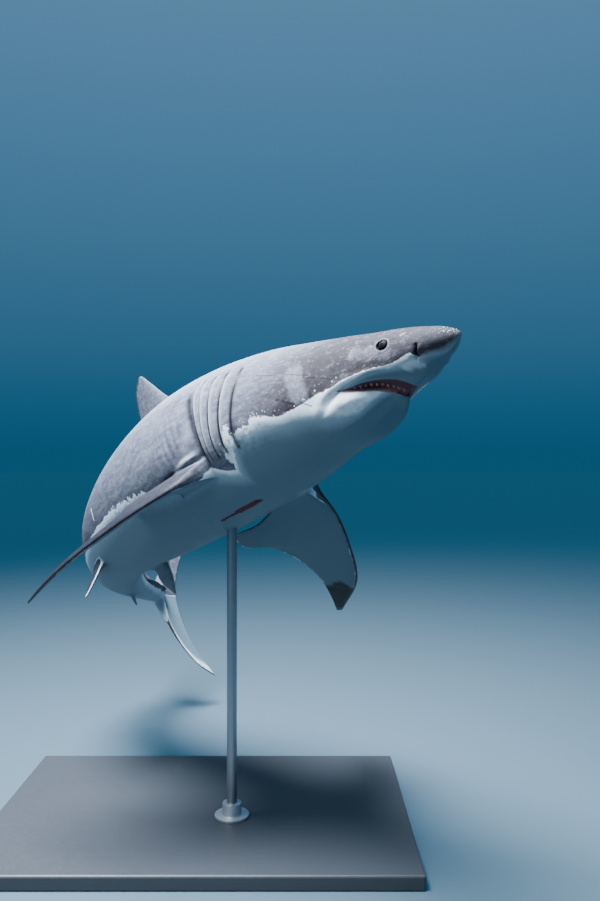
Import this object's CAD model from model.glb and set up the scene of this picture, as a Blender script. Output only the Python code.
"""Great white shark at life size, banking through a turn on a display stand."""
import math

import bmesh
import bpy
import numpy as np
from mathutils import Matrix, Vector


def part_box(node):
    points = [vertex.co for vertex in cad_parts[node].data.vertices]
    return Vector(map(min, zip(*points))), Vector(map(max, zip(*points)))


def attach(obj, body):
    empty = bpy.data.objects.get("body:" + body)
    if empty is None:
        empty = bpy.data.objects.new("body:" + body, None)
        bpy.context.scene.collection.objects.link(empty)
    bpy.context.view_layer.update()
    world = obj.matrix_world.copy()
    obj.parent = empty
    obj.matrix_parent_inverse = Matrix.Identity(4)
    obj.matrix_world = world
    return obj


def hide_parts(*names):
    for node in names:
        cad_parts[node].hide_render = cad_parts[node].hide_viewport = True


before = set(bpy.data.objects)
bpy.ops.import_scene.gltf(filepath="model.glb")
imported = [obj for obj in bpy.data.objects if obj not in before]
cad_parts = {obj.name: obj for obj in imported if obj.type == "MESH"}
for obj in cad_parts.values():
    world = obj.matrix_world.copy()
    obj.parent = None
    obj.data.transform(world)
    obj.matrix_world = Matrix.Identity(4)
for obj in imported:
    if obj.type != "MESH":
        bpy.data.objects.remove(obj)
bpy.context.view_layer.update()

# ---- sizes, in percent of the shark's length
LENGTH = 4.0
PERCENT = LENGTH / 100
HEAD_AT = (0.93, -1.08, 2.02)
HEAD_HEADING, HEAD_PITCH, HEAD_BANK = -48.6, 16.0, -10.1      # degrees

# Body sections: back from the snout, top, bottom, half width, level of the widest point.
SECTIONS = (
    (0.0, 0.0, 0.0, 0.0, 0.0), (0.9, 0.82, 0.91, 0.95, 0.0), (2.4, 1.47, 1.41, 1.77, 0.0),
    (4.6, 2.2, 2.47, 2.68, 0.0), (7.5, 2.94, 3.11, 3.58, 0.0), (11.0, 3.95, 4.99, 4.4, -0.2),
    (15.0, 5.0, 5.58, 5.41, -0.4), (20.0, 6.15, 6.56, 6.65, -0.4), (27.0, 7.05, 7.56, 7.89, -0.4),
    (36.0, 7.6, 8.04, 8.2, -0.3), (46.0, 7.11, 7.52, 7.34, 0.0), (56.0, 5.69, 5.91, 5.7, 0.0),
    (66.0, 3.94, 3.85, 3.76, 0.2), (74.0, 2.6, 2.33, 2.42, 0.2), (80.0, 1.65, 1.45, 1.75, 0.2),
    (84.0, 1.3, 1.25, 1.16, 0.2))
UPPER_POWER, LOWER_POWER = 2.15, 2.3       # how square the back and the belly are

BONES = 109                                # places along the backbone, 1 % apart
# Bend of the backbone in degrees per 10 % of length: back from the snout, sideways, up, twist.
BEND = (
    (0, 0, 0, 0), (18, 0, 0, 0), (32, -0.7, 5.4, 1.4), (46, -2.1, 3.9, 0.2), (60, -20.0, 1.2, 0.6),
    (74, -19.3, -1.4, 0.3), (88, -11.1, -0.9, -0.3), (104, -3.0, 0, 0))

COLUMNS = 180
ANGLES = np.arange(COLUMNS) * 360 / COLUMNS
OFF = 180 - np.abs(180 - ANGLES)           # 0 on the back, 180 on the belly
SIDE = np.where(ANGLES <= 180, 1.0, -1.0)  # 1 on the right flank
MOUTH_CORNER, MOUTH_LINE = 115.0, 10.2     # angle and place of the mouth's corners
MOUTH_REACH, MOUTH_OPEN, MOUTH_DEPTH = 4.36, 0.41, 1.3
MOUTH_ROUND, MOUTH_ARCH = 1.58, 0.6        # how rounded it is from below, and how far its middle arches
JAW_FADE, ROW_FADE = 6.5, 9.2              # how far behind it the lowered jaw and the drawn rows run out
# Gill slits: place of the top end and of the bottom end.
GILLS = ((20.7, 21.5), (22.5, 23.0), (24.2, 24.2), (25.6, 25.1), (26.7, 25.6), (27.8, 26.3))
EYE_AT, EYE_RADIUS, LID_RADIUS = (5.64, 0.37), 0.55, 0.475
EYE_SUNK = 0.72                            # how deep its middle is under the skin, of its radius


# ---- curves
def smooth(x):
    x = np.clip(x, 0, 1)
    return x * x * (3 - 2 * x)


def hump(x, width):
    """1 at x = 0, falling softly to nothing a few widths away."""
    return np.exp(-(x / width) ** 2)


def within(x, start, rise, end, fall):
    """Rises softly from 0 at start to 1, and falls back to 0 from end on."""
    return smooth((x - start) / rise) * (1 - smooth((x - end) / fall))


def spline(knots, values, x):
    """A smooth curve through the values at the knots."""
    knots, values = np.asarray(knots, float), np.asarray(values, float)
    h = np.diff(knots)
    slope = np.diff(values, axis=0) / h[:, None]
    w = (h[1:] / (h[1:] + h[:-1]))[:, None]
    tangent = np.vstack([slope[:1], w * slope[:-1] + (1 - w) * slope[1:], slope[-1:]])
    x = np.atleast_1d(np.asarray(x, float))
    i = np.clip(np.searchsorted(knots, x, side="right") - 1, 0, len(h) - 1)
    u, g = ((x - knots[i]) / h[i])[:, None], h[i][:, None]
    return ((2 * u**3 - 3 * u**2 + 1) * values[i] + (u**3 - 2 * u**2 + u) * g * tangent[i]
            + (3 * u**2 - 2 * u**3) * values[i + 1] + (u**3 - u**2) * g * tangent[i + 1])


def lengths(points):
    """How far along a line each of its points is."""
    return np.concatenate([[0], np.cumsum(np.linalg.norm(np.diff(points, axis=0), axis=1))])


def through(points, t):
    """Points at t (0 to 1) on a smooth curve through the given ones, spaced by length."""
    points = np.asarray(points, float)
    far = lengths(points)
    return spline(far / far[-1], points, t)


def section_table(steps=4000):
    """The body sections, closely spaced. Mirrored ones ahead of the snout make its tip round."""
    table = np.array(SECTIONS)
    nose = table[1:3][::-1] * (1, -1, -1, -1, 1)
    knots = np.arange(-2, len(table))
    rows = spline(knots, np.vstack([nose, table]), np.linspace(0, len(table) - 1, steps))
    rows[:, 0] = np.maximum.accumulate(rows[:, 0])
    return rows


SECTION_TABLE = section_table()


def section(s):
    """Top, bottom, half width and level of the widest point at a place."""
    return [np.interp(s, SECTION_TABLE[:, 0], SECTION_TABLE[:, k]) for k in (1, 2, 3, 4)]


def on_body(s, angle):
    """Straight-body place: (back from snout, right, up). Angle 0 is the back, 90 the right flank."""
    s, a = np.broadcast_arrays(np.asarray(s, float), np.radians(angle))
    top, bottom, width, level = section(s)
    c, n = np.cos(a), np.where(np.cos(a) > 0, UPPER_POWER, LOWER_POWER)
    z = np.where(c > 0, top - level, bottom + level) * np.sign(c) * np.abs(c) ** (2 / n) + level
    y = width * np.sign(np.sin(a)) * np.abs(np.sin(a)) ** (2 / n)
    return np.stack([s, y, z], -1)


def flank_at(s, z):
    """How far out the flank is at a place and level."""
    top, bottom, width, level = section(s)
    high = z > level
    tall, n = np.where(high, top - level, bottom + level), np.where(high, UPPER_POWER, LOWER_POWER)
    return width * np.clip(1 - np.abs((z - level) / tall) ** n, 0, 1) ** (1 / n)


# ---- pose
def turn(axis_angles):
    """Matrix of a turn about an axis, both given by one vector."""
    size = np.linalg.norm(axis_angles)
    if size < 1e-12:
        return np.eye(3)
    x, y, z = np.asarray(axis_angles) / size
    k = np.array([[0, -z, y], [z, 0, -x], [-y, x, 0]])
    return np.eye(3) + math.sin(size) * k + (1 - math.cos(size)) * k @ k


def backbone():
    """Places and axes (forward, left, up) every 1 %."""
    knots = [row[0] for row in BEND]
    at = np.minimum(np.arange(BONES) + 0.5, BEND[-1][0])
    rates = np.radians(spline(knots, [row[1:] for row in BEND], at)) / 10
    heading, pitch, bank = np.radians((HEAD_HEADING, HEAD_PITCH, HEAD_BANK))
    axes = turn((0, 0, heading)) @ turn((0, -pitch, 0)) @ turn((bank, 0, 0))
    place, places, frames = np.array(HEAD_AT), [], []
    for sideways, up, twist in rates:
        places.append(place)
        frames.append(axes)
        after = axes @ turn((twist, -up, sideways))
        place, axes = place - (axes[:, 0] + after[:, 0]) / 2 * PERCENT, after
    return np.array(places), np.array(frames)


PLACES, FRAMES = backbone()


def posed(points, ride_at=None):
    """Straight-body places to metres in the world, bent with the backbone or held unbent at one place."""
    points = np.asarray(points, float)
    q = points.reshape(-1, 3)
    at = np.clip(q[:, 0] if ride_at is None else np.full(len(q), ride_at), 0, BONES - 1.01)
    i, part = at.astype(int), (at % 1)[:, None]
    place = PLACES[i] * (1 - part) + PLACES[i + 1] * part
    forward, left, up = (FRAMES[i, :, k] * (1 - part) + FRAMES[i + 1, :, k] * part for k in range(3))
    out = place + PERCENT * ((at[:, None] - q[:, 0:1]) * forward - q[:, 1:2] * left + q[:, 2:3] * up)
    return out.reshape(points.shape)


# ---- rows of the skin
def mouth_share(off):
    """0 at the mouth's corners to 1 at its middle."""
    return np.clip((off - MOUTH_CORNER) / (180 - MOUTH_CORNER), 0, 1)


def mouth_gape(off):
    """How far the mouth is open at an angle, 1 at the most."""
    return 1 - (1 - np.minimum(1, mouth_share(off) / 0.55)) ** 2


def row_places(row):
    """Where a row of (back, low flank, belly) places crosses each column."""
    back, flank, belly = row
    pull = 1 - (1 - mouth_share(OFF)) ** MOUTH_ROUND
    return back + (flank - back) * smooth((OFF - 60) / 58) + (belly - flank) * pull


def head_row(s):
    """A row on the head, drawn forward underneath so that rows run along the mouth."""
    drawn = smooth(s / MOUTH_LINE) if s < MOUTH_LINE else 1 - smooth((s - MOUTH_LINE) / ROW_FADE)
    return s, s, s - MOUTH_REACH * drawn


def raise_by(points, amount):
    """Moves points out from the body's middle line by an amount in percent."""
    level = section(points[..., 0])[3]
    out = np.stack([0 * level, points[..., 1], points[..., 2] - level], -1)
    size = np.maximum(np.linalg.norm(out, axis=-1, keepdims=True), 1e-6)
    return points + out / size * amount[..., None]


# ---- folds and creases
def toward(points, line):
    """Distance of each (s, off / 10) place from a bent line, and how far along it that is (0 to 1)."""
    line = np.asarray(line, float)
    far = lengths(line) / lengths(line)[-1]
    near, along = np.full(points.shape[:-1], 1e9), np.zeros(points.shape[:-1])
    for k, (a, b) in enumerate(zip(line[:-1], line[1:])):
        t = np.clip(((points - a) * (b - a)).sum(-1) / ((b - a) ** 2).sum(), 0, 1)
        d = np.linalg.norm(points - a - t[..., None] * (b - a), axis=-1)
        closer = d < near
        near = np.where(closer, d, near)
        along = np.where(closer, far[k] + t * (far[k + 1] - far[k]), along)
    return near, along


def ridge(points, line, width, height, power=0.5, end=0.04):
    """A ridge along a line (or, with a negative height, a groove), fading at both its ends."""
    near, along = toward(points, line)
    return height * hump(near, width) * np.sin(np.pi * np.clip(along, end, 1 - end)) ** power


# Lines on the flank, as (place, angle / 10).
JAW_FOLD = ((9.9, 11.7), (10.6, 11.8), (11.1, 12.1), (11.7, 12.5), (12.3, 13.1), (12.6, 13.8))
LIP_RIDGE = ((5.3, 12.0), (6.4, 11.7), (7.6, 11.3), (8.7, 11.0), (9.9, 10.85), (11.0, 10.95), (12.2, 11.6))
LIP_TROUGH = ((6.3, 12.7), (7.4, 12.2), (8.8, 11.5), (9.9, 11.25), (10.9, 11.45), (11.8, 12.1))
NOSTRIL = ((2.98, 9.9), (2.96, 10.7), (3.12, 11.9), (3.26, 13.2), (3.32, 13.9))
NOSTRIL_FLAP = ((2.75, 10.4), (2.8, 11.6), (2.98, 13.0))
LAST_SLIT = ((27.7, 6.4), (27.5, 7.4), (27.0, 8.6), (26.5, 9.6), (26.1, 10.6), (25.9, 11.6))
FIN_FOLD = ((26.6, 11.3), (27.9, 11.35), (29.0, 11.45), (30.2, 11.6), (31.2, 11.72))
FIN_CREASE = ((28.4, 11.66), (29.2, 11.74), (30.6, 11.8), (32.3, 11.9), (34.0, 11.95))
FIN_RIDGE = [(s, off + 0.24) for s, off in FIN_FOLD]
BROW = ((4.7, 7.2), (5.5, 6.85), (6.4, 7.15))
# Ridges, and grooves below 0: line, width and height.
RIDGES = (
    (JAW_FOLD, 0.42, -0.2), (LIP_RIDGE, 0.4, 0.13), (LIP_TROUGH, 0.34, -0.14), (NOSTRIL, 0.12, -0.24),
    (NOSTRIL_FLAP, 0.16, 0.14), (BROW, 0.35, 0.07), (FIN_CREASE, 0.2, -0.12), (FIN_RIDGE, 0.26, 0.26),
    (LAST_SLIT, 0.5, -0.13))


def relief(s, off, row_at):
    """How far the skin stands out from the plain sections, in percent."""
    flat = np.stack([s, off / 10], -1)
    gape = mouth_gape(off)
    raised = 0.1 * hump(row_at - 10.85, 0.35) * gape + 0.07 * hump(row_at - 9.95, 0.22) * gape
    cheek = smooth((off - 112) / 24) * (1 - 0.75 * smooth((off - 142) / 30))
    raised += 0.5 * within(row_at, 10.15, 1.6, 11.8, 5.0) * cheek
    raised += 0.18 * hump(row_at - 11.15, 0.7) * within(off, 120, 16, 156, 20) * (row_at > MOUTH_LINE)
    raised += sum(ridge(flat, *line) for line in RIDGES)
    ripples = np.sin(2 * np.pi * (s + 0.05 * (off - 90)) / 1.05)
    ripples += 0.6 * np.sin(2 * np.pi * s / 0.62 + off / 9)
    return raised + 0.06 * ripples * hump(s - 30.3, 2.4) * hump(off - 93, 15) * (s > 27.6)


def stain(s, off, row_at):
    """Black in the nostril and the folds, and below 0 a pale edge over the pectoral fin's root."""
    flat = np.stack([s, off / 10], -1)
    black = ridge(flat, NOSTRIL, 0.17, 1.0, 0.7, 0.03) + 0.55 * hump(s - 2.8, 0.5) * hump(off - 101, 9)
    black += ridge(flat, FIN_FOLD, 0.2, -1.3, 0.6, 0.0) + ridge(flat, FIN_CREASE, 0.2, 1.1, 0.6, 0.0)
    near, along = toward(flat, LAST_SLIT)
    black += 0.85 * hump(near, 0.5) * smooth(along / 0.15)
    near, along = toward(flat, JAW_FOLD)
    black += 0.75 * hump(near, 0.2) * (1 - along)
    return black + 0.2 * hump(toward(flat, LIP_TROUGH)[0], 0.3) * (row_at < MOUTH_LINE)


def gum_edge(off, row_at):
    """Bare gum shown by the raised upper lip, widest at the middle of the mouth."""
    wide = 0.05 + 0.5 * smooth((off - 132) / 30)
    return np.clip(1 - (MOUTH_LINE - row_at - wide) / 0.15, 0, 1) * smooth((off - 124) / 10) * 0.8


def skin_row(row, lift=0.0, push=0.0):
    """One ring of skin, as straight-body places. Lift and push act at the gill slits."""
    slits = within(OFF, 57, 9, 117, 8)
    s = row_places(row) + push * slits
    points = on_body(s, ANGLES)
    opened = mouth_gape(OFF) * MOUTH_OPEN * (row[0] > MOUTH_LINE + 0.2)
    opened = opened * (1 - smooth((row[0] - MOUTH_LINE) / JAW_FADE))
    points[:, 2] -= opened
    points[:, 0] += opened * 0.5
    points[:, 2] += MOUTH_ARCH * np.sin(np.pi * mouth_share(OFF) ** 0.8) * hump(row[0] - MOUTH_LINE, 3.3)
    keel = 0.75 * within(s, 75, 5, 83, 5) * np.clip(1 - np.abs(OFF - 90) / 10, 0, 1)
    points[:, 1] += keel * SIDE
    return raise_by(points, relief(s, OFF, row[0]) + lift * slits)


# The pocket behind the lips: depth, and the rise of its roof and of its floor.
POCKET = (
    (0.04, -0.04, 0.04), (0.13, -0.05, 0.05), (0.24, 0.02, -0.02), (0.36, 0.12, -0.1), (0.6, 0.17, -0.13),
    (0.95, 0.17, -0.13), (MOUTH_DEPTH, 0.12, -0.12))
MOUTH_MIDDLE = len(POCKET) + 0.5           # rings from the upper lip to the bottom of the pocket


def mouth_rows():
    """From the upper lip into the pocket behind it and out to the lower lip."""
    upper, lower = skin_row(head_row(MOUTH_LINE)), skin_row(head_row(MOUTH_LINE + 0.3))
    inward = np.array([MOUTH_LINE - 0.6, 0, 0]) - upper
    inward[:, 2] = 0
    inward /= np.linalg.norm(inward, axis=1, keepdims=True)
    gape = mouth_gape(OFF)[:, None]
    roof, floor = [], []
    for k, (depth, up, down) in enumerate(POCKET):
        apart = (0.01 * (k + 1), 0, 0)
        roof.append(upper + apart + gape * (depth * inward + (0, 0, up)))
        floor.append(lower - apart + gape * (depth * inward + (-0.2 * (depth > 0.9), 0, down)))
    return [upper, *roof, *floor[::-1], lower]


# Across one gill flap: share of the way to the next slit, push back, lift, black (negative is pale).
FLAP = (
    (0, 0.06, 0.07, -0.1), (0.018, -0.1, -0.05, 1), (0.036, -0.12, -0.3, 1.2), (0.054, 0.05, -0.36, 1.2),
    (0.072, 0.2, -0.24, 1.2), (0.15, 0.14, -0.12, 1.15), (0.34, 0.06, -0.04, 0.3), (0.5, 0.0, 0.0, 0.0),
    (0.68, 0.0, 0.04, -0.1), (0.84, 0.0, 0.1, -0.35), (0.95, 0.0, 0.15, -0.7))


def gill_rows():
    """Skin rings over the five slits, each flap's rear edge standing over the next one."""
    rows = []
    for k, ((top, bottom), (next_top, next_bottom)) in enumerate(zip(GILLS, GILLS[1:])):
        for share, push, lift, black in FLAP[:8] if k == 4 else FLAP:
            flank = bottom + (next_bottom - bottom) * share
            row = top + (next_top - top) * share, flank, flank
            rows.append((row[0], skin_row(row, lift, push), black))
    return rows


def ring_places():
    """Every ring of skin from snout to tail stock: place on the back, points, and how black it is."""
    rings = []

    def add(rows):
        rings.extend((row[0], skin_row(row), 0.0) for row in rows)

    add(map(head_row, [
        *2.2 * (np.arange(1, 25) / 24) ** 1.8, *np.arange(2.32, 2.7, 0.12), *np.arange(2.74, 3.6, 0.045),
        *np.arange(3.68, 9.9, 0.12), 9.98, 10.08]))
    rings.extend((MOUTH_LINE + 0.01 * k, row, 0.0) for k, row in enumerate(mouth_rows()))
    add(map(head_row, [
        10.58, 10.68, 10.8, 10.95, *np.arange(11.1, 19.8, 0.19), 20.0, 20.2, 20.38, 20.52, 20.62]))
    rings.extend(gill_rows())
    top, low = ((GILLS[4][k] + GILLS[5][k]) / 2 for k in (0, 1))
    for t in np.linspace(0, 1, 9)[1:]:
        flank = low + (28.9 - low) * t
        add([(top + (28.9 - top) * t, flank, flank)])
    behind = np.concatenate([
        np.arange(29.1, 32.15, 0.2), np.arange(32.5, 37.3, 0.4), np.linspace(37.6, 46.6, 25),
        np.arange(47.0, 54.8, 0.45), np.linspace(54.9, 58.8, 14), np.arange(59.2, 71.1, 0.45),
        np.linspace(71.3, 72.9, 9), (73.4,), np.linspace(74, 76, 11), np.arange(76.3, 83.6, 0.35), (83.8,)])
    add((s, s, s) for s in behind)
    return rings


# ---- the skin as one closed mesh
# Edge between the grey back and the white belly: place and angle.
TONE_LINE = (
    (0.0, 160), (0.6, 166), (1.2, 163), (1.6, 157), (2.1, 148), (2.75, 136), (3.15, 138), (3.35, 126),
    (3.5, 114), (3.95, 113.5), (4.7, 117), (5.6, 118.5), (6.4, 115), (7.6, 111), (8.65, 108.5), (9.8, 107),
    (10.85, 107.5), (12.4, 107.5), (14.05, 112), (16.3, 114), (18.5, 106.5), (20.1, 108.5), (21.9, 110),
    (22.8, 128), (23.6, 141), (24.6, 138), (25.5, 132), (26.7, 126), (28.6, 124.5), (30, 124), (32, 124),
    (35, 121.5), (37.2, 118), (38.6, 114.5), (40.5, 112.5), (43.7, 110), (50, 109.5), (60, 108), (72, 104),
    (84, 100))
TONE_PLACES = np.arange(0, 85, 0.1)
TONE_EDGE = np.interp(TONE_PLACES, *zip(*TONE_LINE))


def body_tone(s, off, side=1.0):
    """How far a place is into the grey of the back, in percent. Below 0 it is on the white belly."""
    edge = np.interp(s, TONE_PLACES, TONE_EDGE)
    edge = np.where(side < 0, np.minimum(edge, 112 + np.maximum(s - 4, 0) * 3), edge)
    width = np.maximum((section(s)[1] + section(s)[2]) / 2, 0.3)
    return (edge - off) * np.radians(1) * width


def band(a, b):
    """Faces between two closed lines of points."""
    return list(zip(a, np.roll(a, -1), np.roll(b, -1), b))


def patch_edge(patch):
    """Its border: back along the first column, across, forward along the last, across."""
    return np.concatenate([patch[:, 0], patch[-1, 1:], patch[-2::-1, -1], patch[0, -2:0:-1]])


class Skin:
    """The skin while it is put together: rings of points, out of which fins and eyes take patches."""

    def __init__(self):
        self.points, self.faces, self.place, self.tone, self.dark, self.inside = [], [], [], [], [], []
        rings = ring_places()
        self.back = np.array([ring[0] for ring in rings])
        self.straight = np.array([ring[1] for ring in rings])
        self.index = np.empty(self.straight.shape[:2], int)
        self.taken = np.zeros(self.straight.shape[:2], bool)
        slits = within(OFF, 55, 5, 122, 7)
        first = int(np.argmin(np.abs(self.back - MOUTH_LINE)))
        for i, row in enumerate(self.straight):
            at, from_slot = self.back[i], abs(i - first - MOUTH_MIDDLE)
            inside = np.clip(3 - 3 * from_slot / (MOUTH_MIDDLE - 1), 0, 1) * (mouth_gape(OFF) > 0.02)
            if i <= first + 4:
                inside = np.maximum(inside, gum_edge(OFF, min(at, MOUTH_LINE)))
            tone = body_tone(row[:, 0], OFF, SIDE)
            # the jaw's edge stays bright under the lower lip, less so on the left
            shelf = within(at, 10.3, 0.2, 11.6, 4.2) * within(OFF, 110, 10, 148, 40)
            shelf = shelf * np.where(SIDE < 0, 0.3, 1.0)
            tone = np.where(tone < -0.4, np.minimum(tone * (1 - 0.97 * shelf), -0.22), tone)
            black = rings[i][2] * slits + stain(row[:, 0], OFF, at) * (from_slot > MOUTH_MIDDLE + 0.5)
            self.index[i] = self.add(posed(row), row, tone, black, inside)

    def add(self, points, place, tone, dark=0.0, inside=0.0):
        """Takes points in, in metres, with their painted values, and returns their numbers."""
        count = len(points)
        self.points.extend(points)
        self.place.extend(np.broadcast_to(place, (count, 3)))
        for store, value in ((self.tone, tone), (self.dark, dark), (self.inside, inside)):
            store.extend(np.broadcast_to(value, count))
        return np.arange(count) + len(self.points) - count

    def grow(self, ring, points, place, tone, dark=0.0):
        """Adds a line of points and its faces to the ring before it."""
        loop = self.add(points, place, tone, dark)
        self.faces.extend(band(ring, loop))
        return loop

    def along(self, ring):
        """Points, places and tones along a line of point numbers."""
        return (np.array([store[i] for i in ring]) for store in (self.points, self.place, self.tone))

    def patch(self, first, last, angles):
        """Takes a patch out and returns the numbers of its grid points, rows by columns."""
        i, j = (int(np.argmin(np.abs(self.back - s))) for s in (first, last))
        step = 1 if angles[1] > angles[0] else -1
        columns = np.arange(round(angles[0] / 2), round(angles[1] / 2) + step, step) % COLUMNS
        self.taken[i:j, columns[:-1] if step > 0 else columns[1:]] = True
        return self.index[i:j + 1][:, columns]

    def cap(self, ring, across):
        """Closes a flat loop that runs back, across, forward and across again."""
        along = len(ring) // 2 - across
        turn_at = along + across
        upper, lower = ring[:along + 1], ring[turn_at:turn_at + along + 1][::-1]
        self.faces.extend(zip(upper, upper[1:], lower[1:], lower))
        self.faces += [ring[along:turn_at + 1], [*ring[turn_at + along:], ring[0]]]

    def fill(self):
        """Faces over all that no patch took, closed at the snout's tip."""
        for a, b, taken in zip(self.index, self.index[1:], self.taken):
            faces = band(a, b)
            self.faces.extend(faces[j] for j in np.flatnonzero(~taken))
        tip = self.add(posed([(0.0, 0.0, 0.0)]), (0, 0, 0), 0.5)[0]
        self.faces.extend((b, a, tip) for a, b in zip(self.index[0], np.roll(self.index[0], -1)))


# ---- fins
class Fin:
    """A fin's plane on the straight body: where it starts, and its directions back, out and up."""

    def __init__(self, start, back, out, side, ride_at):
        self.start, self.ride_at = np.array(start, float), ride_at
        self.back, self.out = (np.array(v, float) / np.linalg.norm(v) for v in (back, out))
        self.up = np.cross(self.back, self.out) * side
        self.up /= np.linalg.norm(self.up)


def section_height(c):
    """Half thickness of a fin section along its chord, 1 at the thickest."""
    return (0.2969 * np.sqrt(c) - 0.126 * c - 0.3516 * c**2 + 0.2843 * c**3 - 0.1015 * c**4) / 0.1


def fin_loop(fin, lead, trail, thick, thin, bend, turned):
    """One closed section, at angles from its upper front corner round the rear edge and back."""
    c = (1 - np.cos(turned)) / 2
    flat = np.outer(1 - c, lead) + np.outer(c, trail)
    height = section_height(c) * thick / 2 + thin / 2 * np.minimum(1, 6 * c)
    height = np.where(np.abs(np.sin(turned)) < 1e-9, 0, height * np.sign(np.sin(turned)))
    return (fin.start + np.outer(flat[:, 0], fin.back) + np.outer(flat[:, 1], fin.out)
            + np.outer(height + bend, fin.up))


def grow_fin(skin, patch, fin, lead, trail, steps, thick, thin, tone, bend=0.0, fade=0.35):
    """Grows a fin out of a patch of the body. tone(t, c, chord, upper) gives its tone and its black."""
    ring = patch_edge(patch)
    across, count = patch.shape[1] - 1, len(ring)
    turned = (across / 2 + np.arange(count)) * 2 * math.pi / count
    c, upper = (1 - np.cos(turned)) / 2, np.sin(turned) >= -1e-9
    edge, edge_place, edge_tone = skin.along(ring)
    base_flat = fin_loop(fin, through(lead, 0)[0], through(trail, 0)[0], thick, thin, 0, turned)
    base = posed(base_flat, fin.ride_at)
    for t in steps:
        front, rear = through(lead, t)[0], through(trail, t)[0]
        flat = fin_loop(fin, front, rear, thick * (1 - t) ** 0.8 + thin, thin, bend * t * t, turned)
        stay = max(0, 1 - t / fade) ** 3
        points = posed(flat, fin.ride_at) + (edge - base) * stay
        place = flat + (edge_place - base_flat) * stay
        own, black = tone(t, c, np.linalg.norm(rear - front), upper)
        blend = smooth(t / 0.07)
        ring = skin.grow(ring, points, place, edge_tone * (1 - blend) + own * blend, black * blend)
    skin.cap(ring, across)


def spaced(count, power=1.25):
    """Steps from root to tip, closer together at the root."""
    return np.linspace(0, 1, count + 1)[1:] ** power


# Pectoral outline, (back, out) from the front of the root.
PECTORAL_SIZE = 1.15
PECTORAL_LEAD = ((0, 0), (1.5, 4.1), (4.4, 8.6), (8.5, 13.4), (14.3, 16.6))
PECTORAL_TRAIL = (
    (6.3, 0), (9.4, 0.8), (12.6, 0.85), (13.1, 1.9), (10.9, 4.2), (10.9, 9.5), (13.1, 13.8), (14.9, 16.3))


def swept(outline, sweep):
    """The outline swung back about its root, with the root itself left on the body."""
    out = np.array(outline, float) * PECTORAL_SIZE
    by = sweep * smooth(out[:, 1] / 8)
    c, n = np.cos(by), np.sin(by)
    return np.stack([out[:, 0] * c + out[:, 1] * n, out[:, 1] * c - out[:, 0] * n], -1)


def pectoral_tone(t, c, chord, upper):
    """Grey above. White below, with grey margins and a black tip."""
    margin = np.maximum(0.3 - c * chord, 0.2 - (1 - c) * chord)
    below = np.maximum(margin, (t - 0.76) * 16)
    below = below - 16 * smooth(-below / 0.06)
    black = smooth((t - 0.735 - 0.03 * np.cos(7 * c)) / 0.04) * np.where(upper, 0.6, 1.2)
    black = np.maximum(black, 0.75 * smooth((0.35 - c * chord) / 0.2) * smooth(t / 0.3))
    return np.where(upper, 1.5, below), np.maximum(black, np.where(upper, 0.7 + 0.5 * t, 0.0))


def pectoral(skin, side, droop, sweep, pitch, bend):
    droop, sweep, pitch = np.radians((droop, sweep, pitch))
    start = on_body(29.3, 128 * side) * (1, 0.95, 0.95)
    start[0] = 25.6
    out = 0, side * math.cos(droop), -math.sin(droop)
    back = math.cos(pitch), side * math.sin(droop) * math.sin(pitch), math.cos(droop) * math.sin(pitch)
    fin = Fin(start, back, out, side, 29.3)
    patch = skin.patch(27.25, 32.1, (120 * side, 140 * side))
    grow_fin(skin, patch, fin, swept(PECTORAL_LEAD, sweep), swept(PECTORAL_TRAIL, sweep), spaced(40),
             1.15, 0.1, pectoral_tone, bend, fade=0.3)


DORSAL_LEAD = ((0, -0.3), (2.2, 1.7), (4.2, 3.8), (6.0, 6.2), (7.6, 8.3))
DORSAL_TRAIL = ((9.0, -0.3), (10.4, 0.9), (10.5, 2.9), (10.3, 5.2), (9.6, 7.3), (8.2, 8.5))
SMALL_LEAD = ((0, -0.1), (0.8, 0.8), (1.9, 1.5))
SMALL_TRAIL = ((1.6, -0.1), (1.9, 0.5), (2.3, 1.3))
PELVIC_LEAD = ((0, -0.2), (1.2, 2.2), (3.1, 4.2))
PELVIC_TRAIL = ((3.8, -0.1), (4.9, 1.2), (3.6, 4.0))


def grey_tone(t, c, chord, upper):
    return 1.5, 0.5 + 0.3 * smooth((0.45 - (1 - c) * chord) / 0.3) * smooth(t / 0.3)


def pelvic_tone(t, c, chord, upper):
    front = smooth((0.2 - c * chord) / 0.1)
    return np.where(upper, 0.9 - 1.3 * front, -4.0), np.where(upper, 0.7 * (1 - front), 0.45)


def white_tone(t, c, chord, upper):
    return -2.5, 0.0


def middle_fin(skin, places, up, lead, trail, steps, thick, tone, lean=0.0):
    """A fin on the back (up = 1) or on the belly (up = -1)."""
    middle, rear = (on_body(s, 0 if up > 0 else 180) for s in places)
    fin = Fin(middle, rear - middle, (0, lean, up), 1, sum(places) / 2)
    patch = skin.patch(*places, (-10, 10) if up > 0 else (170, 190))
    grow_fin(skin, patch, fin, lead, trail, steps, thick, 0.1 if up > 0 else 0.08, tone)


def pelvic(skin, side):
    fin = Fin(on_body(54.9, 140 * side), (1, 0, 0.1), (0, side * 0.42, -0.9), side, 57.0)
    patch = skin.patch(54.9, 58.8, (130 * side, 150 * side))
    grow_fin(skin, patch, fin, PELVIC_LEAD, PELVIC_TRAIL, spaced(16), 0.55, 0.08, pelvic_tone)


# Tail fin outline, (back from the snout, up).
TAIL_UPPER_EDGE = ((83.8, 1.45), (86.0, 4.0), (89.0, 8.2), (93.0, 12.0), (98.6, 15.2))
TAIL_LOWER_EDGE = ((83.8, -1.15), (85.2, -3.8), (87.6, -7.4), (90.9, -10.5), (95.1, -12.6))
TAIL_REAR_EDGE = (
    (98.9, 14.9), (93.6, 8.6), (90.4, 3.6), (89.4, 0.6), (89.6, -2.6), (91.4, -7.2), (95.5, -12.4))


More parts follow.
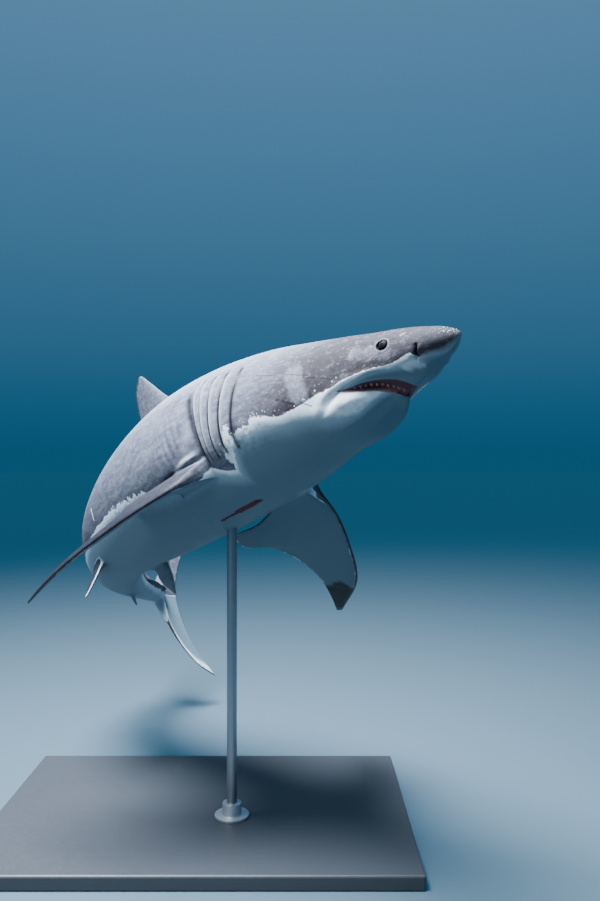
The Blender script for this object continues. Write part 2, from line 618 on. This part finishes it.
def tail_fin(skin, thin=0.075):
    """Rings from the last body ring to the rear edge, like a sheet stretched between its edges."""
    first, ring = skin.straight[-1], skin.index[-1]
    across, half = OFF / 180, COLUMNS // 2

    def bowed(line):
        """How far a line of places leaves the straight one between its ends."""
        return line - np.outer(1 - across, line[0]) - np.outer(across, line[half])

    stalk, rear = bowed(first[:, (0, 2)]), bowed(through(TAIL_REAR_EDGE, across))
    for v in spaced(40, 1):
        top, low = through(TAIL_UPPER_EDGE, v)[0], through(TAIL_LOWER_EDGE, v)[0]
        flat = (1 - v) * stalk + v * rear + np.outer(1 - across, top) + np.outer(across, low)
        wide = first[:, 1] * (1 - smooth(v / 0.45))
        blade = np.sqrt(np.clip(1 - (2 * across - 1) ** 2, 0, 1)) * smooth(v / 0.4)
        blade = blade * (0.62 * (1 - v) + thin * v)
        sideways = wide + blade * np.sign(np.sin(np.radians(ANGLES)))
        place = np.stack([flat[:, 0], sideways, flat[:, 1]], -1)
        edge_gap = (1 - across) * 13 * np.clip(v * 1.2, 0, 1)
        lower_tone = np.where(edge_gap < 0.25, 0.4, -0.45 - 4.5 * smooth((edge_gap - 0.7) / 0.9))
        own = np.where(across < 0.55, 1.2, lower_tone)
        blend = smooth(v / 0.3)
        tone = body_tone(first[:, 0], OFF) * (1 - blend) + own * blend
        ring = skin.grow(ring, posed(place), place, tone)
    skin.faces.extend((ring[j], ring[j + 1], ring[-j - 1], ring[-j]) for j in range(half))


# ---- eye sockets


# Round the eye: distance from its middle and lift, ending behind the eyeball.
LIDS = ((0.78, 0.0), (0.71, 0.008), (0.65, 0.02), (0.6, 0.035), (0.56, 0.04), (0.53, 0.03), (0.505, 0.0),
        (0.487, -0.05), (LID_RADIUS, -0.1), (0.465, -0.2), (0.44, -0.4), (0.3, -0.6))


def eye_socket(skin, side):
    s, z = EYE_AT
    ring = patch_edge(skin.patch(s - 0.84, s + 0.84, (66 * side, 98 * side)))
    _, edge, edge_tone = skin.along(ring)
    proud = edge[:, 1] * side - flank_at(edge[:, 0], edge[:, 2])
    angle = np.arctan2(edge[:, 2] - z, edge[:, 0] - s)
    far = np.hypot(edge[:, 2] - z, edge[:, 0] - s)
    for radius, lift in LIDS:
        back, up = s + radius * np.cos(angle), z + radius * np.sin(angle) * 0.96
        stay = np.clip((radius - 0.5) / (far - 0.5), 0, 1)
        out = flank_at(back, up) + proud * stay + lift
        place = np.stack([back, out * side, up], -1)
        black = 0.9 * smooth((0.53 - radius) / 0.02) - 0.4 * (0.53 < radius < 0.7)
        ring = skin.grow(ring, posed(place), place, edge_tone, black)
    skin.faces.append(tuple(ring))


# ---- finishes
def operator(operation):
    return lambda self, other: self.math(operation, other)


class Value:
    """A shader socket that can be used in sums."""

    def __init__(self, finish, socket):
        self.finish, self.socket = finish, socket

    def math(self, operation, *others):
        return self.finish.node("Math", dict(enumerate((self, *others))), operation=operation)

    def __rsub__(self, other):
        return self.finish.node("Math", {0: other, 1: self}, operation="SUBTRACT")

    __add__ = __radd__ = operator("ADD")
    __mul__ = __rmul__ = operator("MULTIPLY")
    __sub__, max, min = operator("SUBTRACT"), operator("MAXIMUM"), operator("MINIMUM")

    def vector(self, operation, other=None, output=0):
        """Vector maths on this value. Output 1 is a plain number."""
        values = {0: self} if other is None else {0: self, 1: other}
        return self.finish.node("VectorMath", values, output, operation=operation)

    def ramp(self, low, high):
        """0 below low and 1 above high, with a soft step between."""
        ends = {"From Min": low, "From Max": high, "Value": self}
        return self.finish.node("MapRange", ends, interpolation_type="SMOOTHSTEP")

    def near(self, middle, width):
        """1 at the middle value, 0 a width away on either side."""
        return 1 - (self - middle).math("ABSOLUTE").ramp(0, width)


class Finish:
    """The nodes of one material, or of the studio's surround."""

    def __init__(self, name, kind="materials", shader="Principled BSDF"):
        self.made = getattr(bpy.data, kind).new(name)
        self.made.use_nodes = True
        self.tree = self.made.node_tree
        self.shader = self.tree.nodes[shader]

    def put(self, sockets, settings):
        for key, value in settings.items():
            if isinstance(value, Value):
                self.tree.links.new(value.socket, sockets[key])
            else:
                sockets[key].default_value = value

    def node(self, kind, values=None, output=0, **settings):
        """Adds a node with its settings, then the values or links of its sockets."""
        made = self.tree.nodes.new("ShaderNode" + kind)
        for k, (place, color) in enumerate(settings.pop("stops", ())):
            stops = made.color_ramp.elements
            stop = stops[k] if k < 2 else stops.new(place)
            stop.position, stop.color = place, color
        for key, value in settings.items():
            setattr(made, key, value)
        self.put(made.inputs, values or {})
        return Value(self, made.outputs[output])

    def mix(self, a, b, share):
        """Colour a, going over to b as share goes to 1."""
        a, b = ((*color, 1) if isinstance(color, tuple) else color for color in (a, b))
        return self.node("Mix", {"Factor": share, 6: a, 7: b}, 2, data_type="RGBA")

    def coats(self, color, *coats):
        """A colour with coats laid over it in turn, each a colour and its share."""
        for coat, share in coats:
            color = self.mix(color, coat, share)
        return color

    def attribute(self, name, output=2):
        return self.node("Attribute", None, output, attribute_name=name)

    def noise(self, vector, scale, detail=3.0, roughness=0.5):
        return self.node("TexNoise", dict(Vector=vector, Scale=scale, Detail=detail, Roughness=roughness))

    def dots(self, vector, scale, low, high):
        """1 on scattered dots."""
        return 1 - self.node("TexVoronoi", {"Vector": vector, "Scale": scale}).ramp(low, high)

    def stretch(self, vector, scale=(1.0, 1.0, 1.0), shift=(0, 0, 0)):
        return self.node("Mapping", {"Vector": vector, "Scale": scale, "Location": shift})

    def flat(self, across, up):
        return self.node("CombineXYZ", {0: across, 1: up})

    def streak(self, flat, start, end, width):
        """1 on a straight mark from start to end, 0 a width away from it."""
        step = (end[0] - start[0], end[1] - start[1], 0.0)
        ahead = flat.vector("SUBTRACT", (*start, 0.0))
        share = 1 / (step[0] ** 2 + step[1] ** 2)
        along = (ahead.vector("DOT_PRODUCT", step, 1) * share).max(0.0).min(1.0)
        foot = self.node("VectorMath", {0: step, "Scale": along}, operation="SCALE")
        return 1 - ahead.vector("SUBTRACT", foot).vector("LENGTH", None, 1).ramp(0.0, width)

    def mark(self, flat, line):
        """A streak on the flank between two (place, angle) points, with its width."""
        ends = [(s, float(on_body(s, off)[2])) for s, off in line[:2]]
        return self.streak(flat, *ends, line[2])

    def bump(self, height, distance, strength=1.0, **under):
        return self.node("Bump", dict(Height=height, Distance=distance, Strength=strength, **under))

    def finish(self, **values):
        self.put(self.shader.inputs, {key.replace("_", " "): value for key, value in values.items()})
        return self.made


GREY, PALE_GREY, BROWN = (0.074, 0.08, 0.104), (0.21, 0.22, 0.262), (0.03, 0.024, 0.028)
BRIGHT, WHITE, CREAM = (0.74, 0.82, 0.86), (0.24, 0.32, 0.36), (0.1, 0.155, 0.185)
BLACK, DUSK, GASH = (0.006, 0.005, 0.007), (0.03, 0.03, 0.04), (0.08, 0.005, 0.006)
GUM, MAW = (0.08, 0.032, 0.038), (0.5, 0.22, 0.24)

# Marks on the right flank, each from one (place, angle) to another, with its width.
SCARS = (
    ((13.4, 88.5), (10.7, 98.3), 0.09), ((18.45, 73.0), (16.4, 77.5), 0.07),
    ((15.4, 79.5), (12.9, 88.0), 0.06), ((16.25, 98.5), (14.75, 107.0), 0.2),
    ((13.0, 53.0), (12.25, 52.5), 0.1), ((13.95, 108.5), (12.95, 117.0), 0.12))
CHEEK, JOWL = ((14.5, 82.0), (14.0, 101.0), 1.5), ((8.2, 83.0), (5.6, 96.5), 1.45)
ARMPIT, WEDGE = ((27.4, 95.0), (28.3, 106.0), 1.3), ((3.45, 143.0), (4.5, 133.0), 0.42)
# Pale marks with how bright each is.
PALE_MARKS = (
    ((4.15, 66.0), (3.8, 62.5), 0.2, 0.12), ((51.6, 89.5), (51.2, 100.5), 0.2, 0.7),
    ((22.3, 106.0), (23.1, 131.0), 0.85, 0.8))


def skin_finish():
    """Grey-brown back with a ragged edge to the white belly, scars, pores and a worn snout."""
    f = Finish("shark_skin")
    place = f.attribute("place", 1)
    tone, dark, inside = (f.attribute(name) for name in ("tone", "dark", "inside"))
    s, right, up = (f.node("SeparateXYZ", {0: place}, k) for k in range(3))
    on_right, below = right.ramp(0.1, 0.6), (0 - up).ramp(2.0, 4.0)

    # the ragged edge between back and belly
    fine, coarse = f.noise(place, 1.7, 5.0, 0.65), f.noise(place, 0.45, 2.0)
    patchy = f.noise(place, 0.95, 6.0, 0.7)
    rag, drift, blotch = fine - 0.5, coarse - 0.5, patchy - 0.5
    torn = s.near(20.5, 3.6).max(s.near(42.0, 9.0)).max(s.near(91.0, 8.0) * 0.45)
    edge = tone + rag * (torn * 2.2 + 0.5) + drift * (torn * 0.5 + 0.25)
    snout = 1 - s.ramp(2.4, 4.0)
    grey = (edge * (1 - snout * 0.86)).ramp(-0.05, 0.06)
    grey = grey.max(f.dots(place, 2.1, 0.13, 0.19) * tone.near(-0.45, 0.75) * s.near(20.5, 4.5))
    flecks = f.dots(f.stretch(place, shift=(7.0, 3.0, 1.0)), 2.6, 0.16, 0.24)
    snow = (tone.near(0.3, 0.55) * s.near(14.5, 9.5)).max(s.near(23.6, 0.9) * up.near(-3.9, 1.6) * on_right)
    grey = grey * (1 - flecks * snow)

    # the back: slow clouds, streaks along the body, browner on the head and by the belly line
    clouds = f.noise(f.stretch(place, (0.2, 0.32, 0.32)), 1.0, 6.0, 0.62)
    streaks = f.noise(f.stretch(place, (0.4, 1.5, 1.5)), 1.3, 5.0, 0.65)
    grain = f.noise(f.stretch(place, (0.7, 1.0, 1.0)), 2.4, 6.0, 0.75)
    head = (1 - s.ramp(12.0, 21.0)) * (1 - up.ramp(1.5, 4.5) * s.ramp(8.0, 14.0) * 0.8)
    brown = head * 0.75 + tone.near(0.8, 3.4) * s.near(12.0, 14.0) * 0.9 + clouds * 0.9 - 0.5
    worn = (streaks.ramp(0.42, 0.7) * 0.5).max(patchy.ramp(0.48, 0.7) * 0.45)
    worn = worn.max(clouds.ramp(0.5, 0.72) * 0.5)
    wavy = f.flat(s + rag * 0.5 + drift * 0.5, up + rag * 0.4)
    cheek = (f.mark(wavy, CHEEK) + blotch * 1.3).ramp(0.1, 0.75) * 0.8
    jowl = f.mark(wavy, JOWL) + (grain - 0.5) * 2.2 + blotch * 1.4
    armpit = f.mark(wavy, ARMPIT) * (0.5 + patchy)
    cheek = cheek.max(jowl.ramp(0.45, 1.1) * 0.75).max(armpit) * on_right
    dusk = (1 - s.ramp(2.5, 6.5)) * (0.3 + patchy.ramp(0.35, 0.7) * 0.35)
    scratches = f.dots(f.stretch(place, (1.8, 3.2, 3.2)), 2.4, 0.22, 0.38) * fine.ramp(0.4, 0.5)
    back = f.coats(
        f.mix(GREY, BROWN, brown.max(0.0).min(1.0)),
        (PALE_GREY, worn * (1 - head * 0.72)),
        (BROWN, head * (0.4 + patchy.ramp(0.35, 0.65) * 0.5)),
        (f.mix(DUSK, BROWN, head), grain.ramp(0.5, 0.66) * (0.25 + head * 0.3)),
        (DUSK, s.ramp(30.0, 60.0) * (1 - up.ramp(0.0, 5.0)) * 0.55),
        (PALE_GREY, (1 - grain.ramp(0.36, 0.48)) * 0.3),
        (PALE_GREY, up.ramp(2.6, 5.6) * s.near(31.0, 25.0) * (0.6 + streaks * 0.5)),
        (PALE_GREY, cheek * (0.25 + grain.ramp(0.35, 0.65) * 0.6)),
        (DUSK, dusk.max((1 - s.ramp(0.8, 3.6)) * (0.3 + up.ramp(-0.5, 0.6) * 0.6))),
        (BRIGHT, scratches * s.near(0.7, 1.5) * up.ramp(-0.2, 0.2) * 0.7))

    # the belly: bright along the edge, greyer away from it
    deep = (0 - edge) * (3.2 - s.ramp(9.0, 13.0) * 1.7) + snout * 1.8
    creamy = (deep.ramp(0.9, 5.0) * 0.95).max(f.noise(place, 0.5, 4.0, 0.6).ramp(0.45, 0.8) * 0.3)
    belly = f.mix(f.mix(BRIGHT, WHITE, deep.ramp(0.0, 1.7)), CREAM, creamy)

    # marks
    coats = [(BLACK, f.mark(wavy, scar) * on_right * 0.75) for scar in SCARS]
    for *line, strength in PALE_MARKS:
        shape = f.mark(wavy, line)
        ragged = shape + (rag * 3.0 + blotch * 2.0) * shape.ramp(0.0, 0.25)
        coats.append((BRIGHT, ragged.ramp(0.5, 0.66) * on_right * strength))
    pores = f.dots(place, 3.6, 0.07, 0.11) * s.near(5.0, 6.5) * 0.45
    pits = f.dots(f.stretch(place, shift=(4.0, 9.0, 2.0)), 0.9, 0.035, 0.06) * s.near(20.0, 16.0) * 0.6
    under = f.flat(s + rag * 0.5, right + drift * 0.4 + rag * 0.5)
    cut = f.streak(under, (26.6, 0.3), (30.0, 0.42), 0.75)
    cut = cut.max(f.streak(under, (29.5, 0.42), (33.0, 0.62), 0.4))
    black = dark + rag * 0.7 * dark.near(0.5, 0.5)
    color = f.coats(
        f.mix(belly, back, grey), *coats,
        (BRIGHT, (f.mark(wavy, WEDGE) * on_right).ramp(0.0, 1.0) * 0.45),
        (BLACK, pores.max(pits)),
        (GASH, cut.ramp(0.15, 0.5) * below),
        (BRIGHT, (0 - dark).ramp(0.0, 1.3) * 0.42),
        (BLACK, black.ramp(0.0, 1.0) * 0.93),
        (GUM, inside.ramp(0.0, 0.6)),
        (MAW, inside.ramp(0.85, 1.0)))

    # wet, finely rough surface
    scales = f.noise(place, 14.0, 2.0, 0.7)
    dents = f.noise(f.stretch(place, (0.6, 1.3, 1.3)), 1.6, 5.0, 0.6)
    rough = f.bump(scales, 0.0014, 0.4, Normal=f.bump(dents, 0.008, 0.22))
    wet = 0.5 + f.noise(place, 2.0, 3.0) * 0.16 - inside * 0.2 + head * 0.14
    wet = wet - dark.max(0.0).min(1.0) * 0.22
    return f.finish(Base_Color=color, Roughness=wet, Normal=rough, Specular_IOR_Level=0.12)


def plain_finish(name, color, roughness, metallic=0.0, grain=0.0, size=60.0):
    """A softly clouded finish, with a fine grain where asked."""
    f = Finish(name)
    place = f.node("TexCoord", None, 3)
    cloud = f.noise(place, size, 4.0, 0.6)
    tint = f.mix(tuple(c * 0.88 for c in color), tuple(c * 1.12 for c in color), cloud)
    values = dict(Base_Color=tint, Roughness=roughness + (cloud - 0.5) * 0.2, Metallic=metallic)
    if grain:
        values["Normal"] = f.bump(f.noise(place, size * 8, 2.0), grain)
    return f.finish(**values)


def eye_finish():
    """Near-black eye with a faintly lighter ring round the pupil."""
    f = Finish("shark_eye")
    gaze = f.attribute("gaze")
    mottle = f.noise(f.node("TexCoord", None, 3), 220.0, 3.0, 0.6)
    iris = f.mix((0.004, 0.003, 0.004), (0.012, 0.009, 0.012), gaze.ramp(0.26, 0.4) * (0.5 + mottle))
    color = f.mix(iris, (0.004, 0.003, 0.005), gaze.ramp(0.58, 0.72))
    return f.finish(Base_Color=color, Roughness=0.6, Specular_IOR_Level=0.04, Coat_Weight=0.015,
                    Coat_Roughness=0.1)


# ---- pieces
def primitive(kind, **sizes):
    """A new primitive, selected alone."""
    bpy.ops.object.select_all(action="DESELECT")
    getattr(bpy.ops.mesh, "primitive_" + kind + "_add")(**sizes)
    return bpy.context.object


def mesh_piece(name, points, faces, finish, values=None):
    """A closed, outward-facing, smooth-shaded piece."""
    mesh = bpy.data.meshes.new(name)
    mesh.from_pydata([tuple(map(float, p)) for p in points], [], [tuple(map(int, f)) for f in faces])
    for key, value in (values or {}).items():
        value = np.asarray(value, np.float32)
        kind, field = ("FLOAT_VECTOR", "vector") if value.ndim == 2 else ("FLOAT", "value")
        mesh.attributes.new(key, kind, "POINT").data.foreach_set(field, value.ravel())
    bm = bmesh.new()
    bm.from_mesh(mesh)
    bmesh.ops.recalc_face_normals(bm, faces=bm.faces)
    bm.to_mesh(mesh)
    bm.free()
    mesh.shade_smooth()
    mesh.materials.append(finish)
    made = bpy.data.objects.new(name, mesh)
    bpy.context.scene.collection.objects.link(made)
    return made


FLESH = (
    "head", "lower_jaw", "shoulders", "trunk", "tail_stock", "caudal_fin", "pectoral_fin_right",
    "pectoral_fin_left", "dorsal_fin", "second_dorsal_fin", "anal_fin", "pelvic_fin_right",
    "pelvic_fin_left")


def build_skin():
    skin = Skin()
    pectoral(skin, 1, droop=34.7, sweep=18.8, pitch=3.3, bend=-4.2)
    pectoral(skin, -1, droop=25.0, sweep=-1.8, pitch=-10.0, bend=1.0)
    middle_fin(skin, (37.6, 46.6), 1, DORSAL_LEAD, DORSAL_TRAIL, spaced(32), 1.0, grey_tone, lean=0.2)
    middle_fin(skin, (71.3, 72.9), 1, SMALL_LEAD, SMALL_TRAIL, spaced(10), 0.3, grey_tone)
    middle_fin(skin, (74.0, 76.0), -1, SMALL_LEAD, SMALL_TRAIL, spaced(10), 0.3, white_tone)
    for side in (1, -1):
        pelvic(skin, side)
        eye_socket(skin, side)
    tail_fin(skin)
    skin.fill()
    values = {key: getattr(skin, key) for key in ("place", "tone", "dark", "inside")}
    made = mesh_piece("skin", skin.points, skin.faces, skin_finish(), values)
    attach(made, "root")
    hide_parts(*FLESH)


def build_eye(side, name, finish):
    """An eyeball with its gaze axis out of the head."""
    s, z = EYE_AT
    flank, radius = flank_at(s, z), EYE_RADIUS * PERCENT
    middle = posed((s, (flank - EYE_RADIUS * EYE_SUNK) * side, z))
    ahead = posed((s - 0.25, (flank + 1.0) * side, z + 0.05)) - middle
    ahead /= np.linalg.norm(ahead)
    made = primitive("uv_sphere", segments=48, ring_count=32, radius=radius, location=middle)
    bpy.ops.object.transform_apply()
    made.name = made.data.name = name
    out = (np.array([v.co for v in made.data.vertices]) - middle) / radius
    gaze = np.arccos(np.clip(out @ ahead, -1, 1)).astype(np.float32)
    made.data.attributes.new("gaze", "FLOAT", "POINT").data.foreach_set("value", gaze)
    bpy.ops.object.shade_smooth()
    made.data.materials.append(finish)
    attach(made, "root")
    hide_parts(name.replace("eyeball", "eye"))


# A tooth from its root to its tip: height, and half its width.
TOOTH = ((-0.35, 0.5), (0.0, 0.5), (0.3, 0.42), (0.58, 0.28), (0.82, 0.13), (1.0, 0.012))
TOOTH_SIDES, TOOTH_FLAT = 8, 0.16


def tooth_row(name, lower, finish, spacing, wide, tall):
    """Teeth along a lip, each a flat blade with curved sides, its foot in the gum."""
    rows = mouth_rows()
    lip, pocket = (rows[-1], rows[-6]) if lower else (rows[0], rows[5])
    up = np.array([0, 0, 1.0 if lower else -1.0])
    points, faces = [], []
    for side in (1, -1):
        use = np.flatnonzero((SIDE == side) & (OFF > MOUTH_CORNER + 4) | (OFF == 180))
        use = use[np.argsort(OFF[use])]
        line, deep, gape = lip[use], pocket[use], mouth_gape(OFF[use])
        far = lengths(line)

        def place(at, row):
            return np.array([np.interp(at, far, row[:, i]) for i in range(3)])

        for k, at in enumerate(np.arange(far[-1] - spacing * 0.5, 0.4, -spacing)):
            foot = place(at, line)
            along = (place(at + 0.1, line) - foot) * (1, 1, 0)
            along /= np.linalg.norm(along)
            inward = (place(at, deep) - foot) * (1, 1, 0)
            inward /= max(np.linalg.norm(inward), 1e-6)
            size = 0.45 + 0.55 * np.interp(at, far, gape)
            sway, half = 0.12 * math.sin(2.4 * k + side), wide * size
            loops = []
            for h, w in TOOTH:
                middle = (foot + inward * (0.2 + 0.04 * h + (0.05 if k % 2 else 0)) * size
                          + up * h * tall * size * (1 + sway) + along * sway * h * 0.2)
                flat = TOOTH_FLAT * min(1, 2.2 * w + 0.05)
                loops.append(np.arange(len(points), len(points) + TOOTH_SIDES))
                for a in np.arange(TOOTH_SIDES) * 2 * math.pi / TOOTH_SIDES:
                    points.append(middle + (along * math.cos(a) * w + inward * math.sin(a) * flat) * half)
            for a, b in zip(loops, loops[1:]):
                faces += band(a, b)
            faces += [loops[0], loops[-1]]
    made = mesh_piece(name, posed(np.array(points)), faces, finish)
    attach(made, "root")


# The rod's collar, in metres: radius, height of its plate and sleeve, and the step between them.
COLLAR_RADIUS, COLLAR_PLATE, COLLAR_SLEEVE, COLLAR_STEP = 0.075, 0.012, 0.05, 0.034


def build_stand():
    """The stand keeps its solids, and gains a collar at the foot of the rod."""
    board = plain_finish("stand_board", (0.03, 0.033, 0.038), 0.45, 0.0, 0.0002, 90.0)
    steel = plain_finish("stand_steel", (0.3, 0.31, 0.33), 0.36, 1.0, 0.0, 40.0)
    for node, finish in (("stand_base", board), ("stand_rod", steel)):
        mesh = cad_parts[node].data
        mesh.materials.clear()
        mesh.materials.append(finish)
    low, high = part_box("stand_rod")
    foot = (low[0] + high[0]) / 2, (low[1] + high[1]) / 2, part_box("stand_base")[1][2] + COLLAR_PLATE / 2
    collar = primitive("cylinder", vertices=64, radius=COLLAR_RADIUS, depth=COLLAR_PLATE, location=foot)
    bpy.ops.object.mode_set(mode="EDIT")
    bpy.ops.mesh.select_all(action="DESELECT")
    bpy.ops.object.mode_set(mode="OBJECT")
    for face in collar.data.polygons:
        face.select = face.normal.z > 0.9
    bpy.ops.object.mode_set(mode="EDIT")
    bpy.ops.mesh.inset(thickness=COLLAR_STEP)
    bpy.ops.mesh.extrude_region_move(TRANSFORM_OT_translate={"value": (0, 0, COLLAR_SLEEVE)})
    bpy.ops.object.mode_set(mode="OBJECT")
    bpy.ops.object.transform_apply()
    edge = collar.modifiers.new("edge", "BEVEL")
    edge.width, edge.segments, edge.limit_method = 0.002, 2, "ANGLE"
    bpy.ops.object.modifier_apply(modifier="edge")
    bpy.ops.object.shade_smooth_by_angle(angle=math.radians(35))
    collar.name = collar.data.name = "stand_collar"
    # the steel that comes with the solids, which is paler than the rod's
    collar.data.materials.append(bpy.data.materials["stand_steel"])
    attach(collar, "root")


# ---- floor, light and camera
def floor():
    made = primitive("circle", vertices=96, radius=60, fill_type="NGON", location=(0, 0, 0))
    made.name = "floor"
    finish = Finish("studio_floor").finish(
        Base_Color=(0.042, 0.064, 0.08, 1), Roughness=0.9,
        Emission_Color=(0.0, 0.055, 0.108, 1), Emission_Strength=1.0)
    made.data.materials.append(finish)


def lamp(name, place, aim, size, power, color, spread):
    data = bpy.data.lights.new(name, "AREA")
    data.shape, data.size, data.energy, data.color = "DISK", size, power, color
    data.spread = math.radians(spread)
    made = bpy.data.objects.new(name, data)
    made.location = place
    made.rotation_euler = (Vector(aim) - Vector(place)).to_track_quat("-Z", "Y").to_euler()
    bpy.context.scene.collection.objects.link(made)


# The studio's surround, as (height, colour): lowest, highest, then the step between.
SURROUND = ((0.0, (0.019, 0.176, 0.36, 1)), (1.0, (0.5, 0.76, 0.98, 1)), (0.45, (0.17, 0.46, 0.82, 1)))


def studio():
    floor()
    lamp("key", (-1.3, -0.9, 7.2), (-0.1, 0.1, 1.6), 3.2, 1650, (0.8, 0.89, 1.0), 100)
    lamp("front", (-3.0, -5.5, 4.2), (0.0, -0.2, 1.6), 3.0, 22, (0.9, 0.94, 1.0), 60)
    f = Finish("studio", "worlds", "Background")
    height = f.node("SeparateXYZ", {0: f.node("TexCoord")}, 2)
    sky = f.node("ValToRGB", {0: height}, stops=SURROUND)
    bpy.context.scene.world = f.finish(Color=sky, Strength=0.5)


FOCAL, FRAME_TALL, SENSOR = 810, 901, 36.0


def camera():
    data = bpy.data.cameras.new("camera")
    data.sensor_fit, data.sensor_width = "AUTO", SENSOR
    data.lens = FOCAL * SENSOR / FRAME_TALL
    data.clip_end = 200
    made = bpy.data.objects.new("camera", data)
    made.location, made.rotation_euler = (0.427, -3.624, 1.649), (math.pi / 2, 0, 0)
    bpy.context.scene.collection.objects.link(made)
    bpy.context.scene.camera = made


camera()
studio()
build_skin()
look = eye_finish()
build_eye(1, "eyeball_right", look)
build_eye(-1, "eyeball_left", look)
enamel = plain_finish("tooth_enamel", (0.15, 0.105, 0.105), 0.45)
tooth_row("teeth_upper", False, enamel, 0.5, 0.26, 0.3)
tooth_row("teeth_lower", True, enamel, 0.44, 0.15, 0.34)
build_stand()
